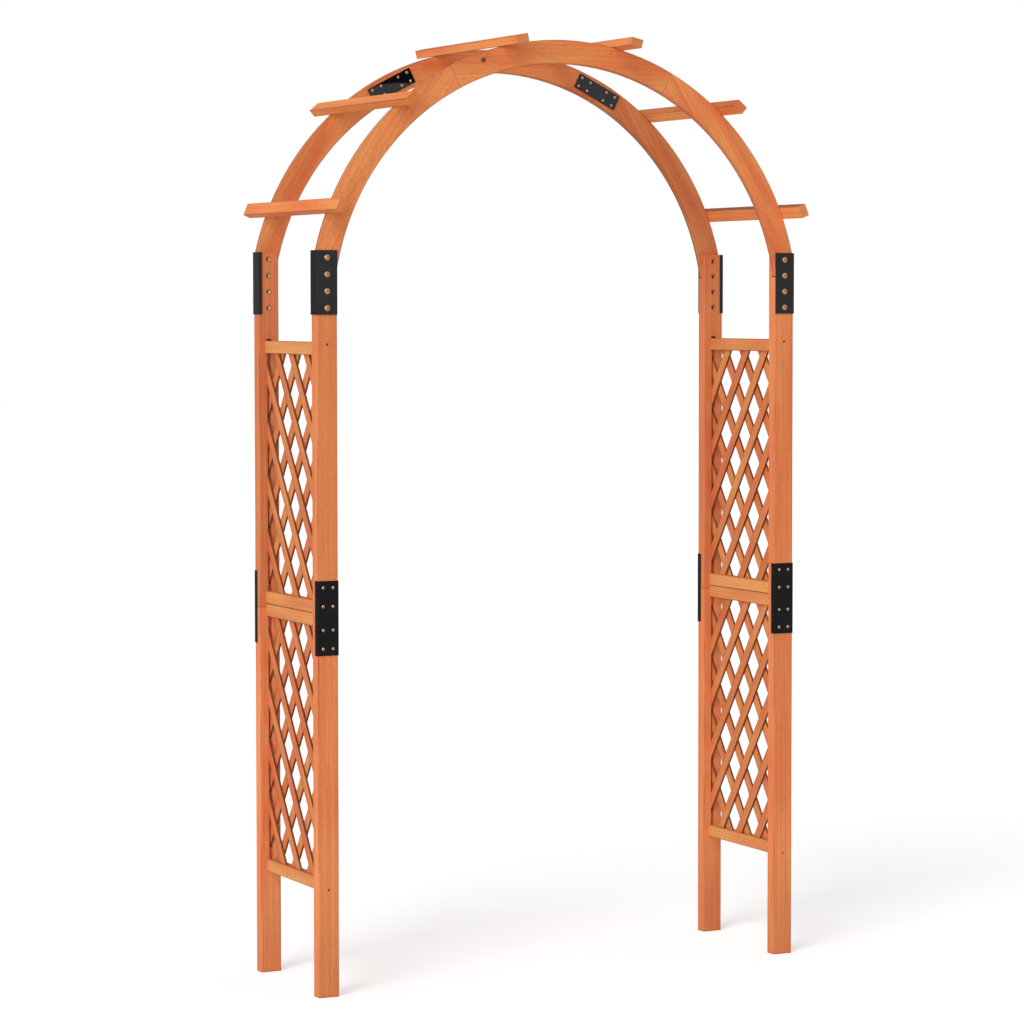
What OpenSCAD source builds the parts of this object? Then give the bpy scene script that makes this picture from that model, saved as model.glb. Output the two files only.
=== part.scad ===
// Wooden garden arbor: two round arches on four posts, tied by slats and by lattice side panels.
// X runs across the walkway, Y runs through it and Z is up. The origin is on the ground at the centre.

/* [Posts] */
// Width of the arbor over its posts
outer_w = 1130; // [1000:10:1400]
// Depth of the arbor over its posts
outer_d = 340; // [300:5:420]
// Post size across the walkway
post_w = 45; // [40:1:60]
// Post size along the walkway
post_t = 28; // [25:1:36]
// Height of the lower half of a post
lower_post_h = 785; // [700:5:900]
// Height of the upper half of a post, up to the shoulder that carries the arch
upper_post_h = 705; // [640:5:800]
// Chamfer along the edges of posts, arches and slats
wood_edge = 1; // [0.5:0.5:3]

/* [Arches] */
// Width of the arch band, measured along its radius
arch_band = 50; // [40:1:60]
// Thickness of the arch boards
arch_t = 16; // [16:1:24]
// Thickness of the arch foot, which laps over the head of the post
foot_t = 14; // [12:1:15]
// Distance of the arch centre below the post shoulder
arch_drop = 83; // [60:1:110]
// Height of the straight arch foot above the shoulder
foot_rise = 8; // [4:1:12]
// Angle between the top of the arch and each joint in it
seam_angle = 26.9; // [24:0.1:31]
// Height of the lap between post and arch
lap_h = 50; // [40:1:60]

/* [Corner brackets] */
// Thickness of the bracket steel
bracket_t = 2; // [1.5:0.5:3]
// Reach of the bracket lip over the inner face of the post
bracket_lip = 6.5; // [4:0.5:10]
// Outer bend radius of the folded steel
bend_r = 2.5; // [2:0.5:4]

/* [Bracket bolts] */
// Number of bolts in a bracket
bolt_count = 4; // [3:1:4]
// Distance between bolts
bolt_pitch = 34.5; // [30:0.5:36]
// Distance of the first bolt below the top of the bracket
bolt_top = 15; // [12:0.5:18]
// Distance of the last bolt above the bottom of the bracket
bolt_bottom = 13.5; // [12:0.5:18]
// Bolt diameter
bolt_d = 6; // [5:1:8]
// Diameter of the domed bolt head
bolt_head_d = 13.5; // [12:0.5:16]
// Height of the domed bolt head
bolt_head_h = 4; // [3:0.5:5]
// Width across the flats of the socket in the bolt head
socket_af = 4; // [3:0.5:5]
// Depth of the socket in the bolt head
socket_depth = 2.5; // [1.5:0.5:2.5]
// Width across the flats of the nut
nut_af = 10; // [9:0.5:10]
// Thickness of the nut
nut_t = 5; // [4:0.5:6]
// Diameter of the recess that holds the nut
recess_d = 12; // [12:0.5:16]
// Depth of the recess that holds the nut
recess_depth = 9; // [6:0.5:10]
// Length of the bolt end that shows past the nut
bolt_end = 1; // [0.5:0.5:1]

/* [Post splice plates] */
// Height of a splice plate
plate_h = 154; // [140:2:180]
// Thickness of the plate steel
plate_t = 1.5; // [1:0.5:2]
// Reach of the folded sides over the post
plate_fold = 12.5; // [8:0.5:16]
// Distance between the two columns of screws
plate_col = 22; // [20:1:24]
// Distance of the inner screws from the post joint
plate_row_in = 24.5; // [20:0.5:30]
// Distance of the outer screws from the post joint
plate_row_out = 63; // [55:0.5:65]

/* [Arch splice plates] */
// Length of a flat plate across an arch joint
tie_l = 110; // [105:1:130]
// Width of a flat plate across an arch joint
tie_w = 34; // [28:1:38]
// Thickness of a flat plate across an arch joint
tie_t = 2; // [1.5:0.5:3]
// Distance between the two rows of screws
tie_row = 20; // [16:1:20]
// Distance of the inner screws from the arch joint
tie_col_in = 22.5; // [16:0.5:26]
// Distance of the outer screws from the arch joint
tie_col_out = 45.5; // [40:0.5:47]

/* [Wood screws] */
// Screw diameter
screw_d = 4; // [3:0.5:5]
// Height of a screw head
screw_head_h = 2.5; // [2:0.5:3]
// Length of a post plate screw below its head
screw_l = 20; // [16:1:22]
// Diameter of the head of a post plate screw
screw_head_d = 8; // [7:0.5:9]
// Length of an arch plate screw below its head
tie_screw_l = 14; // [12:1:15]
// Diameter of the head of an arch plate screw
tie_head_d = 6.5; // [6:0.5:8]

/* [Panel screws] */
// Diameter of the screws through the posts into the ends of the outer rails
rail_screw_d = 3.5; // [3:0.5:4]
// Length of such a screw
rail_screw_l = 40; // [35:1:50]
// Diameter of its head
rail_screw_head_d = 5; // [4.5:0.5:6]
// Height of its head
rail_screw_head_h = 2.5; // [2:0.5:3]
// Depth of its head below the face of the post
rail_screw_sink = 4; // [3:0.5:6]
// Distance of the screw from the outer edge of its rail
rail_screw_inset = 5; // [5:0.5:8]

/* [Slats] */
// Reach of a slat past the front and back of the posts
slat_reach = 80; // [40:5:150]
// Width of a slat
slat_w = 27; // [22:1:40]
// Thickness of a slat
slat_t = 18; // [16:1:24]
// Angle between the top of the arch and each upper slat
slat_high = 13.2; // [10:0.2:15]
// Angle between the top of the arch and each middle slat
slat_mid = 41; // [38:0.2:45]
// Angle between the top of the arch and each lower slat
slat_low = 67.7; // [60:0.1:70]
// Diameter of the dowels that pin the slats to the arches
dowel_d = 8; // [6:1:10]
// Length of a dowel
dowel_l = 24; // [20:1:28]

/* [Side panels] */
// Height of the lower panel above the ground
panel_clear = 218; // [120:2:300]
// Height of the lower panel above the post joint
panel_rise = 7; // [4:1:10]
// Distance of the upper panel below the post shoulder
panel_drop = 138; // [125:1:200]
// Height of a rail
rail_h = 27; // [24:1:40]
// Thickness of a rail
rail_t = 18; // [15:1:24]
// Depth of the grooves that hold the lattice and the rail ends
groove_depth = 8; // [6:1:10]
// Chamfer along the edges of the rails
rail_edge = 1; // [0.5:0.5:1.5]

/* [Lattice] */
// Width of a lath
lath_w = 23; // [16:1:30]
// Thickness of a lath
lath_t = 4; // [3:0.5:5]
// Number of half diamonds across a panel
lattice_cols = 7; // [5:2:9]
// Height of a diamond, from crossing to crossing
lattice_pitch = 118; // [100:2:140]

/* [Fits] */
// Clearance on each side of a groove, hole or dowel
fit = 0.2; // [0.1:0.05:0.3]

/* [Hidden] */
$fn = 48;
ARC_FN = 180;
ROWS = ["front", "back"];
SIDES = ["left", "right"];
LEVELS = ["lower", "upper"];
SLATS = [["high", slat_high], ["mid", slat_mid], ["low", slat_low]];
CORNER_PARTS = ["lower_post", "upper_post", "bracket", "post_plate"];
PANEL_PARTS = ["bottom_rail", "top_rail", "inner_laths", "outer_laths"];
FASTENERS = [
    "bracket_bolts", "bracket_nuts", "post_plate_screws", "arch_plate_screws", "rail_screws", "slat_dowels"
];

WOOD = [0.83, 0.51, 0.3];
STEEL = [0.15, 0.15, 0.16];
COPPER = [0.76, 0.56, 0.38];

// Middles and inner faces of the posts
post_x = outer_w / 2 - post_w / 2;
post_y = outer_d / 2 - post_t / 2;
post_in_x = outer_w / 2 - post_w;
post_in_y = outer_d / 2 - post_t;
shoulder_z = lower_post_h + upper_post_h;
post_top = shoulder_z + lap_h;

// The arch boards lie flush with the outer faces of the posts
arch_y = outer_d / 2 - arch_t / 2;
arch_in_y = outer_d / 2 - arch_t;
lap_y = outer_d / 2 - foot_t;

// The inner edge of the arch meets the inner faces of the posts just above the shoulders
arch_z = shoulder_z - arch_drop;
arch_r_in = sqrt(pow(post_in_x, 2) + pow(arch_drop + foot_rise, 2));
arch_r_mid = arch_r_in + arch_band / 2;
arch_r_out = arch_r_in + arch_band;

bracket_h = bolt_top + (bolt_count - 1) * bolt_pitch + bolt_bottom;
BOLT_HEIGHTS = [for (i = [0:bolt_count - 1]) post_top - bolt_top - i * bolt_pitch];
bolt_head_y = outer_d / 2 + bracket_t;
nut_y = post_in_y + recess_depth;
bolt_l = bolt_head_y - nut_y + nut_t + bolt_end;

PLATE_ROWS = [-plate_row_out, -plate_row_in, plate_row_in, plate_row_out];
TIE_COLS = [-tie_col_out, -tie_col_in, tie_col_in, tie_col_out];
plate_screw_y = outer_d / 2 + plate_t;
tie_screw_y = arch_in_y - tie_t;

slat_l = outer_d + 2 * slat_reach;
slat_r = arch_r_out + slat_t / 2;

// The lattice is two layers of laths, and both rails and posts are grooved for it
lattice_t = 2 * lath_t;
groove_w = lattice_t + 2 * fit;
reach_in = groove_depth - 2 * fit;
panel_seam = lower_post_h + panel_rise;
panel_top = shoulder_z - panel_drop;
panel_w = 2 * post_in_y;
RAIL_SCREW_HEIGHTS = [panel_clear + rail_screw_inset, panel_top - rail_screw_inset];
rail_screw_y = outer_d / 2 - rail_screw_sink;
lattice_half = panel_w / lattice_cols;
lath_angle = atan2(lattice_pitch / 2, lattice_half);

function panel_base(level) = level == "lower" ? panel_clear : panel_seam;
function panel_head(level) = level == "lower" ? panel_seam : panel_top;

// A shape drawn at the right back corner, set at any of the four corners
module at_corner(row, side) {
    at_side(side)
        at_row(row)
            children();
}

module at_side(side) {
    mirror([side == "left" ? 1 : 0, 0, 0])
        children();
}

module at_row(row) {
    mirror([0, row == "front" ? 1 : 0, 0])
        children();
}

// A rectangle about the origin with its corners planed off
module eased_rect(w, h, edge) {
    intersection() {
        square([w, h], center = true);
        rotate(45)
            square((w + h - 2 * edge) / sqrt(2), center = true);
    }
}

// A cylinder from y0 to y1 about a line along Y through x and z
module bore(x, z, y0, y1, d) {
    translate([x, y1, z])
        rotate([90, 0, 0])
            cylinder(h = y1 - y0, d = d);
}

module post_bar(z0, z1) {
    translate([post_x, post_y, z0])
        linear_extrude(z1 - z0)
            eased_rect(post_w, post_t, wood_edge);
}

// The groove along the inner face of a post, which takes the laths and the rail ends
module post_groove(z0, z1) {
    translate([post_x - groove_w / 2, post_in_y - 1, z0])
        cube([groove_w, groove_depth + 1, z1 - z0]);
}

module post_plate_holes() {
    for (x = [-plate_col / 2, plate_col / 2], z = PLATE_ROWS)
        bore(post_x + x, lower_post_h + z, outer_d / 2 - screw_l, plate_screw_y + 1, screw_d + 2 * fit);
}

// The screw holes run on from the post into the end of the rail
module rail_screw_holes() {
    for (z = RAIL_SCREW_HEIGHTS) {
        bore(post_x, z, rail_screw_y - rail_screw_l, outer_d / 2 + 1, rail_screw_d + 2 * fit);
        bore(post_x, z, rail_screw_y - rail_screw_head_h, outer_d / 2 + 1, rail_screw_head_d + 2 * fit);
    }
}

// Each bolt hole ends in a round recess for its nut
module bolt_holes() {
    for (z = BOLT_HEIGHTS) {
        bore(post_x, z, post_in_y - 1, bolt_head_y + 1, bolt_d + 2 * fit);
        bore(post_x, z, post_in_y - 1, nut_y, recess_d);
    }
}

module lower_post(row, side) {
    color(WOOD)
        at_corner(row, side)
            difference() {
                post_bar(0, lower_post_h);
                post_groove(panel_clear, lower_post_h + 1);
                post_plate_holes();
                rail_screw_holes();
            }
}

// The outer side of the post stops at the shoulder, and a tongue rises behind the arch foot
module upper_post(row, side) {
    color(WOOD)
        at_corner(row, side)
            difference() {
                post_bar(lower_post_h, post_top);
                translate([post_in_x - 1, lap_y, shoulder_z])
                    cube([post_w + 2, post_t, lap_h + 1]);
                post_groove(lower_post_h - 1, panel_top);
                post_plate_holes();
                rail_screw_holes();
                bolt_holes();
            }
}

// The straight foot of the arch, as wide as the post that it stands on
module arch_foot() {
    translate([post_x, arch_y, shoulder_z])
        linear_extrude(foot_rise + wood_edge)
            eased_rect(post_w, arch_t, wood_edge);
}

// A band of the arch between two angles measured from the +X direction
module arch_ring(a0, a1) {
    translate([0, arch_y, arch_z])
        rotate([90, 0, 0])
            rotate([0, 0, a0])
                rotate_extrude(angle = a1 - a0, $fn = ARC_FN)
                    translate([arch_r_mid, 0])
                        eased_rect(arch_band, arch_t, wood_edge);
}

// Below the head of the post the board is planed down to clear the tongue
module arch_side(row, side) {
    color(WOOD)
        at_corner(row, side)
            difference() {
                union() {
                    intersection() {
                        arch_ring(0, 90 - seam_angle);
                        translate([0, 0, shoulder_z])
                            cube([outer_w / 2, outer_d, arch_r_out + arch_drop]);
                    }
                    arch_foot();
                }
                translate([0, 0, shoulder_z - 1])
                    cube([outer_w, lap_y, lap_h + 1]);
                bolt_holes();
                tie_holes();
                dowel_holes(slat_low);
                dowel_holes(slat_mid);
            }
}

module arch_top(row) {
    color(WOOD)
        at_row(row)
            difference() {
                arch_ring(90 - seam_angle, 90 + seam_angle);
                for (side = SIDES)
                    at_side(side) {
                        tie_holes();
                        dowel_holes(slat_high);
                    }
            }
}

// Folded from one strip: outer face, side and a lip round the inner edge of the post
module bracket(row, side) {
    color(STEEL)
        at_corner(row, side)
            difference() {
                translate([0, 0, post_top - bracket_h])
                    linear_extrude(bracket_h)
                        bracket_outline();
                bolt_holes();
            }
}

module bracket_outline() {
    difference() {
        translate([post_in_x, post_in_y - bracket_t])
            corner_square([post_w + bracket_t, post_t + 2 * bracket_t]);
        translate([post_in_x - 1, post_in_y])
            square([post_w + 1, post_t]);
        translate([post_in_x - 1, post_in_y - bracket_t - 1])
            square([post_w + 1 - bracket_lip, bracket_t + 2]);
    }
}

// A rectangle from the origin whose two +X corners are bent round
module corner_square(size) {
    square([size[0] - bend_r, size[1]]);
    translate([0, bend_r])
        square([size[0], size[1] - 2 * bend_r]);
    for (y = [bend_r, size[1] - bend_r])
        translate([size[0] - bend_r, y])
            circle(r = bend_r, $fn = 24);
}

// A shallow channel that clasps both post halves across their joint
module post_plate(row, side) {
    color(STEEL)
        at_corner(row, side)
            difference() {
                translate([0, 0, lower_post_h - plate_h / 2])
                    linear_extrude(plate_h)
                        plate_outline();
                post_plate_holes();
            }
}

module plate_outline() {
    difference() {
        translate([post_x, outer_d / 2 - plate_fold])
            rotate(90)
                translate([0, -post_w / 2 - plate_t])
                    corner_square([plate_fold + plate_t, post_w + 2 * plate_t]);
        translate([post_in_x, outer_d / 2 - plate_fold - 1])
            square([post_w, plate_fold + 1]);
    }
}

// Places a shape drawn along X about the origin across the right joint of an arch
module at_seam() {
    translate([0, 0, arch_z])
        rotate([0, seam_angle, 0])
            translate([0, 0, arch_r_mid])
                children();
}

module tie_holes() {
    at_seam()
        for (x = TIE_COLS, z = [-tie_row / 2, tie_row / 2])
            bore(x, z, tie_screw_y - 1, tie_screw_y + tie_screw_l, screw_d + 2 * fit);
}

module arch_plate(row, side) {
    color(STEEL)
        at_corner(row, side)
            difference() {
                at_seam()
                    translate([-tie_l / 2, tie_screw_y, -tie_w / 2])
                        cube([tie_l, tie_t, tie_w]);
                tie_holes();
            }
}

// Places a shape drawn about the Z axis on the right half of the arch, with Z along its radius
module at_slat(angle) {
    translate([0, 0, arch_z])
        rotate([0, angle, 0])
            children();
}

module dowel(y, extra_d, extra_l) {
    translate([0, y, arch_r_out - (dowel_l + extra_l) / 2])
        cylinder(h = dowel_l + extra_l, d = dowel_d + extra_d);
}

module dowel_holes(angle) {
    at_slat(angle)
        for (y = [-arch_y, arch_y])
            dowel(y, 2 * fit, 2 * fit);
}

module slat(side, angle) {
    color(WOOD)
        at_side(side)
            difference() {
                at_slat(angle)
                    translate([0, slat_l / 2, slat_r])
                        rotate([90, 0, 0])
                            linear_extrude(slat_l)
                                eased_rect(slat_w, slat_t, wood_edge);
                dowel_holes(angle);
            }
}

// A grooved rail with a stub tenon at each end; the groove faces up or down
module rail(side, z0, groove_up) {
    groove_z = groove_up ? rail_h - groove_depth : -1;
    color(WOOD)
        at_side(side)
            difference() {
                union() {
                    translate([post_x, panel_w / 2, z0 + rail_h / 2])
                        rotate([90, 0, 0])
                            linear_extrude(panel_w)
                                eased_rect(rail_t, rail_h, rail_edge);
                    translate([post_x - lattice_t / 2, -panel_w / 2 - reach_in, z0])
                        cube([lattice_t, panel_w + 2 * reach_in, rail_h]);
                }
                translate([post_x - groove_w / 2, -panel_w, z0 + groove_z])
                    cube([groove_w, 2 * panel_w, groove_depth + 1]);
                for (row = ROWS)
                    at_row(row)
                        rail_screw_holes();
            }
}

// One layer of laths in the plane of a panel, drawn with the panel's depth along X and its height along Y
module lath_pattern(level) {
    clear_h = panel_head(level) - panel_base(level) - 2 * rail_h;
    count = floor((clear_h / 2 + panel_w / 2 * tan(lath_angle) - lath_w) / lattice_pitch);
    intersection() {
        square([panel_w + 2 * reach_in, clear_h + 2 * reach_in], center = true);
        for (i = [-count:count])
            translate([0, i * lattice_pitch])
                rotate(lath_angle)
                    square([2 * (panel_w + clear_h), lath_w], center = true);
    }
}

// The inner laths rise towards the front of the arbor, and the outer laths cross them
module laths(side, level, layer) {
    x = layer == "inner" ? post_x - lath_t : post_x;
    color(WOOD)
        at_side(side)
            translate([x, 0, (panel_base(level) + panel_head(level)) / 2])
                rotate([90, 0, 90])
                    mirror([layer == "inner" ? 1 : 0, 0, 0])
                        linear_extrude(lath_t)
                            lath_pattern(level);
}

// A round head that stands on y = 0 towards +Y, cut from a ball
module domed_head(d, h) {
    ball_r = (pow(d / 2, 2) + pow(h, 2)) / (2 * h);
    intersection() {
        translate([0, h - ball_r, 0])
            sphere(r = ball_r);
        bore(0, 0, 0, h, d + 1);
    }
}

module bolt() {
    difference() {
        union() {
            domed_head(bolt_head_d, bolt_head_h);
            bore(0, 0, -bolt_l, 0, bolt_d);
        }
        translate([0, bolt_head_h + 1, 0])
            rotate([90, 0, 0])
                cylinder(h = socket_depth + 1, d = socket_af / cos(30), $fn = 6);
    }
}

module nut() {
    difference() {
        rotate([90, 0, 0])
            cylinder(h = nut_t, d = nut_af / cos(30), $fn = 6);
        bore(0, 0, -nut_t - 1, 1, bolt_d + 2 * fit);
    }
}

module screw(length, head_d) {
    tip_h = screw_d;
    domed_head(head_d, screw_head_h);
    bore(0, 0, -length + tip_h, 0, screw_d);
    translate([0, -length + tip_h, 0])
        rotate([90, 0, 0])
            cylinder(h = tip_h - fit, d1 = screw_d, d2 = screw_d / 4);
}

module bracket_bolts() {
    color(COPPER)
        for (row = ROWS, side = SIDES, z = BOLT_HEIGHTS)
            at_corner(row, side)
                translate([post_x, bolt_head_y, z])
                    bolt();
}

module bracket_nuts() {
    color(COPPER)
        for (row = ROWS, side = SIDES, z = BOLT_HEIGHTS)
            at_corner(row, side)
                translate([post_x, nut_y, z])
                    nut();
}

module post_plate_screws() {
    color(COPPER)
        for (row = ROWS, side = SIDES, x = [-plate_col / 2, plate_col / 2], z = PLATE_ROWS)
            at_corner(row, side)
                translate([post_x + x, plate_screw_y, lower_post_h + z])
                    screw(screw_l, screw_head_d);
}

module arch_plate_screws() {
    color(COPPER)
        for (row = ROWS, side = SIDES, x = TIE_COLS, z = [-tie_row / 2, tie_row / 2])
            at_corner(row, side)
                at_seam()
                    translate([x, tie_screw_y, z])
                        rotate([0, 0, 180])
                            screw(tie_screw_l, tie_head_d);
}

// Straight screws whose heads lie sunk in the posts
module rail_screws() {
    color(COPPER)
        for (row = ROWS, side = SIDES, z = RAIL_SCREW_HEIGHTS)
            at_corner(row, side)
                translate([post_x, rail_screw_y, z]) {
                    bore(0, 0, -rail_screw_head_h, 0, rail_screw_head_d);
                    bore(0, 0, -rail_screw_l + fit, 0, rail_screw_d);
                }
}

module slat_dowels() {
    color(WOOD)
        for (side = SIDES, slat = SLATS, y = [-arch_y, arch_y])
            at_side(side)
                at_slat(slat[1])
                    dowel(y, 0, 0);
}

for (row = ROWS, side = SIDES) {
    corner = str(row, "_", side);
    lower_post(row, side);
    upper_post(row, side);
    bracket(row, side);
    post_plate(row, side);
    arch_side(row, side);
    arch_plate(row, side);
}
for (row = ROWS) {
    arch_top(row);
}
for (side = SIDES, slat = SLATS) {
    slat(side, slat[1]);
}
for (side = SIDES, level = LEVELS) {
    panel = str(side, "_", level);
    base = panel_base(level);
    head = panel_head(level);
    rail(side, base, true);
    rail(side, head - rail_h, false);
    laths(side, level, "inner");
    laths(side, level, "outer");
}
bracket_bolts();
bracket_nuts();
post_plate_screws();
arch_plate_screws();
rail_screws();
slat_dowels();
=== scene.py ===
import math

import bpy
from mathutils import Matrix, Vector


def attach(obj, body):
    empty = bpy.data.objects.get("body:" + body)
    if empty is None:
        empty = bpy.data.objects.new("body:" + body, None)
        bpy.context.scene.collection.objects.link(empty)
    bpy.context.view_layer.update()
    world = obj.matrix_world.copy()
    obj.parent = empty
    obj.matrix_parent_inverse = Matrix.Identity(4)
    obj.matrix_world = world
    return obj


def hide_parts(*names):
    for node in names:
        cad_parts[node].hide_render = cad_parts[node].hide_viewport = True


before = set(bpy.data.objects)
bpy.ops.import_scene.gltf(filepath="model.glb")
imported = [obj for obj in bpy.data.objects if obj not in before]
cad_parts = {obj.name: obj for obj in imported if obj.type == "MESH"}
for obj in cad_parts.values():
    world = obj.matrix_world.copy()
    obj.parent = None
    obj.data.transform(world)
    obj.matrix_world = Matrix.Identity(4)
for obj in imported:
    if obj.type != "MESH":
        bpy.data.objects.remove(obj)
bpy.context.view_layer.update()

print("arbor loaded:", len(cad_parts), "nodes")

# where the timber sits, in metres
arbor = {
    "postX": 0.5425,        # post centre lines
    "postY": 0.156,
    "innerY": 0.142,        # inner faces of the posts
    "jointZ": 0.785,        # where the two lengths of a post meet
    "shoulderZ": 1.49,      # shoulder under the foot of the arch
    "archY": 0.162,         # middle of the arch boards
    "archZ": 1.407,         # centre of the arches
    "archRadius": 0.5529,   # middle of the band
    "seamAngle": 26.9,      # from the top of the arch to each seam
}
sideSign = {"left": -1, "right": 1}
rowSign = {"front": -1, "back": 1}
black = (0.0, 0.0, 0.0)


def addNode(tree, kind, inputs=None, **settings):
    node = tree.nodes.new(kind)
    for key, value in settings.items():
        setattr(node, key, value)
    for key, value in (inputs or {}).items():
        if isinstance(value, bpy.types.NodeSocket):
            tree.links.new(value, node.inputs[key])
        else:
            node.inputs[key].default_value = value
    return node


def maths(tree, operation, a, b=0.5, c=0.5, clamp=False):
    node = addNode(tree, "ShaderNodeMath", {0: a, 1: b, 2: c}, operation=operation, use_clamp=clamp)
    return node.outputs[0]


def times(tree, a, b):
    return maths(tree, "MULTIPLY", a, b)


def absolute(tree, value):
    return maths(tree, "ABSOLUTE", value)


def vectorMaths(tree, operation, a, b, output="Vector"):
    return addNode(tree, "ShaderNodeVectorMath", {0: a, 1: b}, operation=operation).outputs[output]


def lengthOf(tree, vector):
    return vectorMaths(tree, "LENGTH", vector, (0, 0, 0), "Value")


def dot(tree, a, b):
    return vectorMaths(tree, "DOT_PRODUCT", a, b, "Value")


def splitVector(tree, vector):
    return addNode(tree, "ShaderNodeSeparateXYZ", {"Vector": vector}).outputs


def objectPlace(tree):
    return addNode(tree, "ShaderNodeTexCoord").outputs["Object"]


def faceNormal(tree):
    return addNode(tree, "ShaderNodeNewGeometry").outputs["Normal"]


def noise(tree, vector, scale, detail=2.0, roughness=0.5):
    stretched = vectorMaths(tree, "MULTIPLY", vector, scale)
    return addNode(tree, "ShaderNodeTexNoise",
                   {"Vector": stretched, "Scale": 1.0, "Detail": detail, "Roughness": roughness}).outputs["Fac"]


def ramp(tree, factor, stops):
    node = addNode(tree, "ShaderNodeValToRGB", {"Fac": factor})
    elements = node.color_ramp.elements
    while len(elements) < len(stops):
        elements.new(0.5)
    for element, (position, colour) in zip(elements, stops):
        element.position = position
        element.color = (*colour, 1.0)
    return node.outputs["Color"]


def mapRange(tree, value, start, end, low, high, **settings):
    node = addNode(tree, "ShaderNodeMapRange", {"Value": value, "From Min": start, "From Max": end,
                                                "To Min": low, "To Max": high}, **settings)
    return node.outputs["Result"]


def fade(tree, value, start, end, low=1.0, high=0.0):
    return mapRange(tree, value, start, end, low, high, interpolation_type="SMOOTHSTEP")


# a Mix node holds its colours in inputs 6 and 7 and in output 2
def mixColour(tree, blend, factor, a, b):
    node = addNode(tree, "ShaderNodeMix", {"Factor": factor}, data_type="RGBA", blend_type=blend)
    for socket, value in ((node.inputs[6], a), (node.inputs[7], b)):
        if isinstance(value, bpy.types.NodeSocket):
            tree.links.new(value, socket)
        else:
            socket.default_value = (*value, 1.0)
    return node.outputs[2]


def linear(*srgb):
    return tuple(c / 12.92 if c <= 0.04045 else ((c + 0.055) / 1.055) ** 2.4 for c in srgb)


def emptyMaterial(name):
    material = bpy.data.materials.new(name)
    material.use_nodes = True
    material.node_tree.nodes.clear()
    return material, material.node_tree


def finishMaterial(tree, shader):
    out = addNode(tree, "ShaderNodeOutputMaterial")
    tree.links.new(shader.outputs[0], out.inputs["Surface"])


# a plain surface with a bump of the given strength and depth
def finishSurface(tree, height, bump, sockets):
    strength, distance = bump
    raised = addNode(tree, "ShaderNodeBump", {"Height": height, "Strength": strength, "Distance": distance})
    finishMaterial(tree, addNode(tree, "ShaderNodeBsdfPrincipled", {**sockets, "Normal": raised.outputs["Normal"]}))


# each noise: scale along, across and through the board, then detail and roughness
grainPattern = {
    "drift": ((1.6, 12.0, 12.0), 2.0),
    "streaks": ((2.6, 240.0, 240.0), 3.0, 0.6),
    "tone": ((3.4, 17.0, 17.0), 2.0),
    "fibre": ((34.0, 1300.0, 1300.0), 3.0, 0.65),
    "pores": ((55.0, 620.0, 620.0), 2.0),
    "mottle": ((210.0, 330.0, 330.0), 3.0, 0.6),
    "poreCut": (0.6, 0.72),             # where the noise of the pores starts and ends to show
    "ringStretch": (0.035, 1.0, 1.0),   # the rings change slowly along the board
    "ringPower": 2.4,                   # higher makes the late wood narrower
}


# grain of a board that lies along X of the incoming vector
def boardGrainGroup():
    tree = bpy.data.node_groups.new("boardGrain", "ShaderNodeTree")
    face = tree.interface
    for name in ("Vector", "Pith"):
        face.new_socket(name, in_out="INPUT", socket_type="NodeSocketVector")
    for name in ("Ring pitch", "Swirl", "Wander"):
        face.new_socket(name, in_out="INPUT", socket_type="NodeSocketFloat")
    for name in ("Rings", "Streaks", "Tone", "Fibre", "Pores", "Mottle"):
        face.new_socket(name, in_out="OUTPUT", socket_type="NodeSocketFloat")
    source = tree.nodes.new("NodeGroupInput").outputs
    vector = source["Vector"]
    drift = noise(tree, vector, *grainPattern["drift"])
    fromPith = vectorMaths(tree, "SUBTRACT", vector, source["Pith"])
    radius = lengthOf(tree, vectorMaths(tree, "MULTIPLY", fromPith, grainPattern["ringStretch"]))
    wander = times(tree, maths(tree, "SUBTRACT", drift, 0.5), source["Wander"])
    radius = maths(tree, "ADD", maths(tree, "ADD", radius, wander), source["Swirl"])
    phase = times(tree, maths(tree, "DIVIDE", radius, source["Ring pitch"]), 2 * math.pi)
    wave = maths(tree, "MULTIPLY_ADD", maths(tree, "COSINE", phase), -0.5, 0.5)
    results = {
        "Rings": maths(tree, "POWER", wave, grainPattern["ringPower"]),
        "Streaks": noise(tree, vector, *grainPattern["streaks"]),
        "Tone": noise(tree, vector, *grainPattern["tone"]),
        "Fibre": noise(tree, vector, *grainPattern["fibre"]),
        "Pores": fade(tree, noise(tree, vector, *grainPattern["pores"]), *grainPattern["poreCut"], 0.0, 1.0),
        "Mottle": noise(tree, vector, *grainPattern["mottle"]),
    }
    sink = tree.nodes.new("NodeGroupOutput").inputs
    for name, value in results.items():
        tree.links.new(value, sink[name])
    return tree


boardGrain = boardGrainGroup()

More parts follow.
